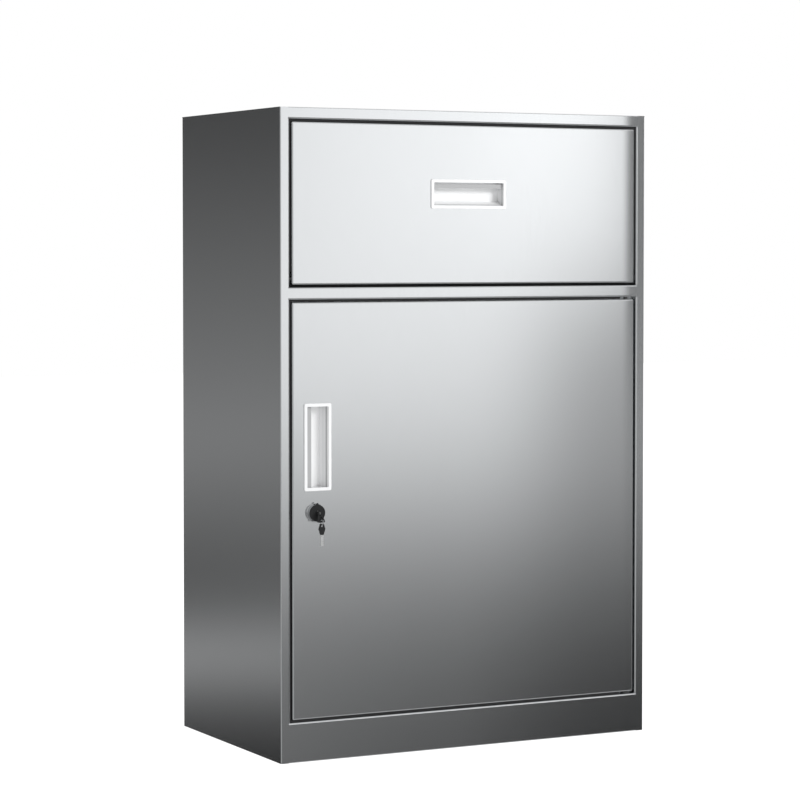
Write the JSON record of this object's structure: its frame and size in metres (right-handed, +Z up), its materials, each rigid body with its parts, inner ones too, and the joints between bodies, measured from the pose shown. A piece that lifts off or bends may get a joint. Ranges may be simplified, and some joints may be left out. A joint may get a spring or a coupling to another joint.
{
  "type": "book drop box",
  "caption": "Floor-standing stainless cabinet with a tilt-out deposit hopper over a locked collection door; books slide off the hopper tray into the space below.",
  "frame": {"origin": "floor level under the middle of the whole footprint, hanging keys included; the cabinet's front plane is 180 mm ahead of it and its back 200 mm behind", "axes": "+X to the right seen from the front, +Y towards the back, +Z up"},
  "size_m": [0.65, 0.4014, 1],
  "materials": {
    "satin_steel": "satin stainless sheet, very fine grain",
    "white_plastic": "moulded, semi-gloss",
    "black_plastic": "moulded, satin",
    "chrome": "bright plated",
    "zinc_steel": "zinc plated",
    "key_steel": "nickel plated blank",
    "nylon": "black nylon",
    "rubber": "matt"
  },
  "bodies": {
    "carcass": {"left_side_panel": "satin_steel", "right_side_panel": "satin_steel", "top_panel": "satin_steel", "back_panel": "satin_steel", "cabinet_floor": "satin_steel", "plinth_front": "satin_steel", "middle_rail": "satin_steel", "anti_reach_baffle": "satin_steel", "back_panel_rivets": "zinc_steel", "upper_door_pin": "zinc_steel", "lower_door_pin": "zinc_steel", "door_bumpers": "rubber", "hopper_bumpers": "rubber", "door_seals": "rubber", "hopper_seals": "rubber", "hopper_bushes": "nylon", "door_thrust_washer": "nylon"},
    "hopper": {"hopper_front_panel": "satin_steel", "hopper_inner_panel": "satin_steel", "hopper_left_cheek": "satin_steel", "hopper_right_cheek": "satin_steel", "hopper_tray": "satin_steel", "hopper_pull": "white_plastic", "hopper_pivot_plates": "zinc_steel", "hopper_pivot_pins": "zinc_steel", "hopper_rivets": "zinc_steel"},
    "door": {"door_front_panel": "satin_steel", "door_stiffener": "satin_steel", "door_pull": "white_plastic", "door_bushes": "nylon", "lock_housing": "chrome", "lock_nut": "zinc_steel"},
    "lock": {"lock_face": "black_plastic", "lock_plug": "zinc_steel", "lock_cam": "zinc_steel", "cam_screw": "zinc_steel", "key_blade": "key_steel"},
    "key_bow": {"key_bow": "black_plastic"},
    "key_ring": {"key_ring": "chrome"},
    "spare_key": {"spare_key_bow": "black_plastic", "spare_key_blade": "key_steel"}
  },
  "joints": [
    {"name": "hopper_tilt", "type": "hinge", "parent": "carcass", "child": "hopper", "pos_m": [0, -0.171, 0.7395], "axis": [1, 0, 0], "range_deg": [0, 42]},
    {"name": "door_swing", "type": "hinge", "parent": "carcass", "child": "door", "pos_m": [0.2955, -0.17, 0.3845], "axis": [0, 0, 1], "range_deg": [0, 105]},
    {"name": "lock_turn", "type": "hinge", "parent": "door", "child": "lock", "pos_m": [-0.267, -0.18, 0.382], "axis": [0, 1, 0], "range_deg": [0, 90]},
    {"name": "key_fold", "type": "hinge", "parent": "lock", "child": "key_bow", "pos_m": [-0.267, -0.195, 0.382], "axis": [-1, 0, 0], "range_deg": [0, 90]},
    {"name": "ring_swing", "type": "hinge", "parent": "key_bow", "child": "key_ring", "pos_m": [-0.263, -0.195, 0.3695], "axis": [-1, 0, 0], "range_deg": [0, 60]},
    {"name": "spare_swing", "type": "hinge", "parent": "key_ring", "child": "spare_key", "pos_m": [-0.263, -0.195, 0.3635], "axis": [0, 1, 0], "range_deg": [-60, 60]}
  ]
}
